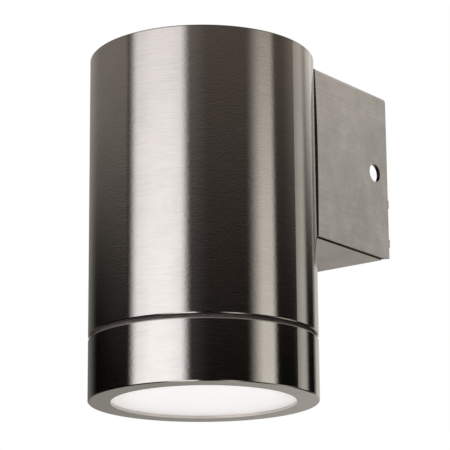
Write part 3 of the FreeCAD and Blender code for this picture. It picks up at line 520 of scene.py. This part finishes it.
mill_steel = mottled_metal("mill_steel", (0.50, 0.50, 0.49), (0.60, 0.60, 0.59),
                           roughness=0.38, lumps=260.0, height=0.00001)
zinc_plate = mottled_metal("zinc_plate", (0.62, 0.64, 0.66), (0.76, 0.77, 0.78),
                           roughness=0.28, lumps=420.0, height=0.000008)
turned_brass = mottled_metal("turned_brass", (0.70, 0.50, 0.22), (0.82, 0.64, 0.32),
                             roughness=0.26, lumps=350.0, height=0.000006)
print("metals", [metal.name for metal in (mill_steel, zinc_plate, turned_brass)])

# %% [markdown]
# ## Rubber, plastic and ceramic
# None of these is one flat colour. Rubber carries a dusty bloom, moulded nylon and silicone vary a
# little in tone, and steatite has a fine speckle and a dull, slightly pitted skin.

# %% Mix the rubbers, plastics and ceramics
speckle_stops = (0.35, 0.65)
speckle_spread = 0.16


def speckled(name, dark, light, roughness, lumps, height, **constants):
    """A non-metal with a two-tone speckle and a pitted skin."""
    material, tree, shader = start_material(name, **constants)
    speckle = noise(tree, object_place(tree), lumps, detail=5.0, roughness=0.65)
    link_tone(tree, shader, speckle, speckle_stops[0], dark, speckle_stops[1], light)
    link_roughness(tree, shader, speckle, roughness, speckle_spread)
    link_bump(tree, shader, speckle, height)
    return material


black_rubber = speckled("black_rubber", (0.012, 0.012, 0.012), (0.035, 0.034, 0.033),
                        roughness=0.75, lumps=900.0, height=0.00002)
# The ring's seal: rubber painted a lighter grey-brown than the black, as painted light in its
# shaded groove.
painted_light_seal_rubber = speckled("painted_light_seal_rubber", (0.110, 0.092, 0.086), (0.190, 0.165, 0.155),
                        roughness=0.70, lumps=900.0, height=0.00002)
clear_silicone = speckled("clear_silicone", (0.66, 0.66, 0.64), (0.80, 0.80, 0.78),
                          roughness=0.45, lumps=500.0, height=0.00001,
                          Subsurface_Weight=0.3, Subsurface_Scale=0.002)
steatite = speckled("steatite", (0.76, 0.73, 0.66), (0.88, 0.86, 0.80),
                    roughness=0.62, lumps=1400.0, height=0.00003)
glazed_white = speckled("glazed_white", (0.84, 0.84, 0.81), (0.92, 0.92, 0.90),
                        roughness=0.16, lumps=300.0, height=0.00001,
                        Coat_Weight=0.6, Coat_Roughness=0.08)
natural_nylon = speckled("natural_nylon", (0.80, 0.80, 0.76), (0.90, 0.90, 0.87),
                         roughness=0.42, lumps=600.0, height=0.00002,
                         Subsurface_Weight=0.2, Subsurface_Scale=0.002)
brown_sleeve = speckled("brown_sleeve", (0.16, 0.07, 0.035), (0.24, 0.11, 0.06),
                        roughness=0.42, lumps=450.0, height=0.00001)
blue_sleeve = speckled("blue_sleeve", (0.03, 0.13, 0.42), (0.06, 0.20, 0.55),
                       roughness=0.42, lumps=450.0, height=0.00001)
print("finishes so far", len(bpy.data.materials))

# %% [markdown]
# The earth lead is green with a yellow stripe that winds along it. Bands that lie aslant to all
# three axes look like the moulded spiral wherever the lead bends.

# %% Mix the green and yellow sleeve
sleeve_green, sleeve_yellow = (0.06, 0.30, 0.07), (0.80, 0.66, 0.06)
sleeve_bands = {"Scale": 55.0, "Distortion": 0.4, "Detail": 1.0}


def striped_sleeve():
    """Green with narrow-edged yellow bands that stand up a little."""
    material, tree, shader = start_material("green_yellow_sleeve", Roughness=0.42)
    inputs = {"Vector": object_place(tree), **sleeve_bands}
    bands = add_node(tree, "ShaderNodeTexWave", inputs, wave_type="BANDS",
                     bands_direction="DIAGONAL").outputs["Fac"]
    link_tone(tree, shader, bands, start=0.46, first=sleeve_green, end=0.54, last=sleeve_yellow)
    link_bump(tree, shader, bands, distance=0.00002, strength=0.4)
    return material


earth_sleeve = striped_sleeve()
print("striped finish", earth_sleeve.name)

# %% [markdown]
# ## Glass
# The lens is a thick disc with a sandblasted face. It scatters light evenly, so it reads as a soft
# white with almost no view of what lies behind it. A weak painted glow lightens it and stands for
# the light that the disc spreads inside itself. Towards its rim, where the ring shades it, a
# painted shade makes the disc a little darker. The lamp's own glass is clear, and its bowl is
# mirror coated with a pattern of small facets.

# %% Mix the glasses and the mirror
# The disc's glow is painted light, and its darker rim is painted shade.
painted_lens_glow, painted_lens_glow_strength = (1.0, 0.985, 0.975, 1), 0.26
lens_dark, lens_light = (0.93, 0.92, 0.92), (0.97, 0.965, 0.965)
painted_lens_rim, painted_lens_rim_shade = (0.019, 0.027), (0.80, 0.775, 0.77, 1)
blast_lumps, cloud_lumps = 2600.0, 60.0
ripple_lumps = 90.0
facets_per_metre = 420.0
facet_light, facet_dark = (0.86, 0.86, 0.84), (0.70, 0.70, 0.69)


def frosted_lens():
    """Sandblasted glass: fine grain in roughness and height, faint clouds in tone, a painted shade
    at its rim and a painted glow.
    """
    material, tree, shader = start_material("frosted_lens", IOR=1.5, Transmission_Weight=0.25,
                                            Emission_Color=painted_lens_glow,
                                            Emission_Strength=painted_lens_glow_strength)
    place = object_place(tree)
    blast = noise(tree, place, blast_lumps, detail=3.0)
    cloud = noise(tree, place, cloud_lumps, detail=2.0)
    tone = ramp(tree, cloud, ((0.3, lens_dark), (0.7, lens_light)))
    radius = axis_distance(tree, from_axis(tree, place))
    # Painted shade towards the rim, where the ring shades the disc.
    rim = map_range(tree, radius, *painted_lens_rim, kind="SMOOTHSTEP")
    tree.links.new(mix_colour(tree, rim, tone, painted_lens_rim_shade), shader.inputs["Base Color"])
    link_roughness(tree, shader, blast, mean=0.55, spread=0.2)
    link_bump(tree, shader, blast, distance=0.00001, strength=0.5)
    return material


def clear_lamp_glass():
    """Clear glass with a slight ripple."""
    material, tree, shader = start_material("clear_lamp_glass", IOR=1.5, Transmission_Weight=1.0)
    ripple = noise(tree, object_place(tree), ripple_lumps, detail=2.0)
    link_roughness(tree, shader, ripple, mean=0.03, spread=0.06)
    link_bump(tree, shader, ripple, distance=0.00004, strength=0.3)
    return material


def faceted_mirror():
    """A mirror coat broken into small cells, each a facet."""
    material, tree, shader = start_material("faceted_mirror", Metallic=1.0)
    inputs = {"Vector": object_place(tree), "Scale": facets_per_metre}
    facets = add_node(tree, "ShaderNodeTexVoronoi", inputs, feature="F1").outputs["Distance"]
    link_tone(tree, shader, facets, start=0.0, first=facet_light, end=0.9, last=facet_dark)
    link_roughness(tree, shader, facets, mean=0.10, spread=0.08)
    link_bump(tree, shader, facets, distance=0.0002, strength=0.8)
    return material


lens_finish = frosted_lens()
lamp_glass = clear_lamp_glass()
lamp_mirror = faceted_mirror()
print("glasses", lens_finish.name, lamp_glass.name, lamp_mirror.name)

# %% [markdown]
# ## Dressing the pieces
# Each node takes the finish of the material it is really made of. One table keeps the choice in
# sight.

# %% Give every node its finish
finishes = {
    tube_steel: ("body_tube",),
    ring_steel: ("lens_ring",),
    cap_steel: ("top_cap",),
    box_steel: ("box_sleeve",),
    mill_steel: ("threaded_collar", "saddle_plate"),
    zinc_plate: ("holder_strap", "wall_bracket", "saddle_screws", "saddle_nuts",
                 "saddle_washer", "strap_screws", "terminal_screws", "terminal_block_screw",
                 "earth_tag", "lamp_pins"),
    turned_brass: ("holder_contacts", "terminal_clamps", "bracket_earth_screw"),
    black_rubber: ("saddle_gasket", "lead_grommet", "cable_grommet"),
    painted_light_seal_rubber: ("ring_seal",),
    clear_silicone: ("lens_gasket",),
    steatite: ("lamp_holder", "holder_face"),
    glazed_white: ("lamp_base",),
    natural_nylon: ("terminal_block",),
    brown_sleeve: ("live_lead",),
    blue_sleeve: ("neutral_lead",),
    earth_sleeve: ("earth_lead",),
    lens_finish: ("lens_glass",),
    lamp_glass: ("lamp_front_glass", "lamp_capsule"),
    lamp_mirror: ("lamp_reflector",),
}
dressed = set()
for finish, names in finishes.items():
    for name in names:
        mesh = nodes[name].data
        mesh.materials.clear()
        mesh.materials.append(finish)
        dressed.add(name)
print("bare nodes", sorted(set(nodes) - dressed))

# %% [markdown]
# ## Collar thread
# The ring screws onto a fine thread cut on the collar. It shows as a band of close ridges once the
# ring is unscrewed a little way. A thread is one small ridge wound in a helix: a three-cornered
# profile is spun round the axis while it climbs, one pitch for each turn. Its foot is buried in the
# collar.

# %% Wind the thread
thread_pitch = 0.0015
thread_height = 0.00014
thread_turns = 6
steps_in_turn = 72
first_ridge = 0.0008
half_width_share = 0.38
foot_depth = 0.0001
spigot_radius = 0.0298


def build_thread():
    """One ridge wound up the collar's spigot."""
    mesh = bpy.data.meshes.new("collar_thread")
    shape = bmesh.new()
    buried = spigot_radius - foot_depth
    crest = spigot_radius + thread_height
    half_width = thread_pitch * half_width_share
    start = collar_low.z + first_ridge
    corners = ((buried, -half_width), (crest, 0.0), (buried, half_width))
    profile = [shape.verts.new((axis_x + out, axis_y, start + rise)) for out, rise in corners]
    face = shape.faces.new(profile)
    bmesh.ops.spin(shape, geom=[face, *face.edges, *profile], cent=(axis_x, axis_y, 0),
                   axis=(0, 0, 1), dvec=(0, 0, thread_pitch / steps_in_turn),
                   angle=math.tau * thread_turns, steps=steps_in_turn * thread_turns,
                   use_merge=False)
    bmesh.ops.recalc_face_normals(shape, faces=shape.faces)
    shape.to_mesh(mesh)
    shape.free()
    thread = bpy.data.objects.new("collar_thread", mesh)
    bpy.context.scene.collection.objects.link(thread)
    mesh.materials.append(mill_steel)
    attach(thread, "light")
    print("thread faces", len(mesh.polygons), "outer radius mm", round(crest * 1000, 2))


build_thread()

# %% [markdown]
# ## Rubber strands
# Two thin black strands are made the same way: the joint's bead, partly painted shade, and the
# seam's strand, painted shade. A curve gives the path, and its radius at each point gives the
# strand's thickness. The curve is turned into a mesh, an open strand's ends are welded shut, and
# the sides are shaded smooth.

# %% A helper for rubber strands
section_steps = 3
weld_reach = 0.000001


def rubber_strand(name, path, radii, closed):
    """A round rubber strand along a path, as a mesh that rides on the light."""
    curve = bpy.data.curves.new(name + "_path", "CURVE")
    curve.dimensions = "3D"
    curve.bevel_depth = 1.0
    curve.bevel_resolution = section_steps
    curve.use_fill_caps = not closed
    spline = curve.splines.new("POLY")
    spline.use_cyclic_u = closed
    spline.points.add(len(path) - 1)
    for point, place, radius in zip(spline.points, path, radii):
        point.co = (*place, 1)
        point.radius = radius
    carrier = bpy.data.objects.new(name + "_path", curve)
    mesh = bpy.data.meshes.new_from_object(carrier)
    bpy.data.objects.remove(carrier)
    bpy.data.curves.remove(curve)
    mesh.name = name
    shape = bmesh.new()
    shape.from_mesh(mesh)
    bmesh.ops.remove_doubles(shape, verts=shape.verts, dist=weld_reach)
    bmesh.ops.recalc_face_normals(shape, faces=shape.faces)
    for face in shape.faces:
        face.smooth = len(face.verts) == 4
    shape.to_mesh(mesh)
    shape.free()
    mesh.materials.append(black_rubber)
    strand = bpy.data.objects.new(name, mesh)
    bpy.context.scene.collection.objects.link(strand)
    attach(strand, "light")
    print(name, "faces", len(mesh.polygons))


# %% [markdown]
# ## Gasket edge and joint shade
# Where the box is pulled onto the tube, a soft black bead of the rubber between them runs round the
# joint. Its black also stands in as painted shade for the narrow gap there. It follows the box's
# scooped front and is thickest half way up the sides.

# %% Run the bead round the joint
below_foot, below_head = 0.0001, 0.0008
off_tube, inside_side = 0.0003, 0.0002
foot_radius, middle_radius, head_radius = 0.00042, 0.00064, 0.00016
arc_steps = 24
side_steps = 10
bead_foot = box_low.z - below_foot
bead_head = box_high.z - below_head
bead_reach = tube_radius + off_tube
bead_side = box_high.x - inside_side


def bead_path():
    """Closed path round the box's front: up the right side, across the top, down the left side and
    back along the foot."""
    swing = math.asin(bead_side / bead_reach)
    rise = (bead_head - bead_foot) / side_steps
    turn_step = 2 * swing / arc_steps
    right_side = [(swing, bead_foot + rise * step) for step in range(side_steps)]
    over = [(swing - turn_step * step, bead_head) for step in range(arc_steps)]
    left_side = [(-swing, bead_head - rise * step) for step in range(side_steps)]
    under = [(-swing + turn_step * step, bead_foot) for step in range(arc_steps)]
    return [(axis_x + bead_reach * math.sin(angle), axis_y + bead_reach * math.cos(angle), height)
            for angle, height in right_side + over + left_side + under]


def bead_radius(height):
    """Thickest half way up, thinner towards the foot and thinnest at the head."""
    middle = (bead_foot + bead_head) / 2
    away = (height - middle) / (bead_head - middle)
    end = head_radius if away > 0 else foot_radius
    return middle_radius + (end - middle_radius) * away ** 2


joint_path = bead_path()
joint_radii = [bead_radius(height) for _, _, height in joint_path]
# The bead's black is partly rubber and partly painted shade for the gap between box and tube.
rubber_strand("gasket_bead_and_shade", joint_path, joint_radii, closed=True)

# %% [markdown]
# ## Painted shade in the open seam
# The folded strip stops short of its own far side, so the box has an open seam along its lower
# right corner. Its inside lies in shade, a line as black as the joint's. A straight round strand of
# the same black rubber paints that shade: it is pushed in from below until it is nearly level with
# the sheet.

# %% Fill the open seam with a black strand of painted shade
seam_gap = 0.0016
sheet = 0.0012
seam_inset = 0.0001
front_clearance, back_clearance = 0.0003, 0.0005
seam_x = box_high.x - sheet - seam_gap / 2
seam_z = box_low.z + seam_gap / 2 + seam_inset
seam_front = axis_y + math.sqrt(tube_radius ** 2 - seam_x ** 2) + front_clearance
seam_back = box_high.y - back_clearance
seam_path = [(seam_x, place, seam_z)
             for place in (seam_front, (seam_front + seam_back) / 2, seam_back)]
# A black strand as painted shade in the open seam.
rubber_strand("painted_seam_shade", seam_path, [seam_gap / 2] * len(seam_path), closed=False)
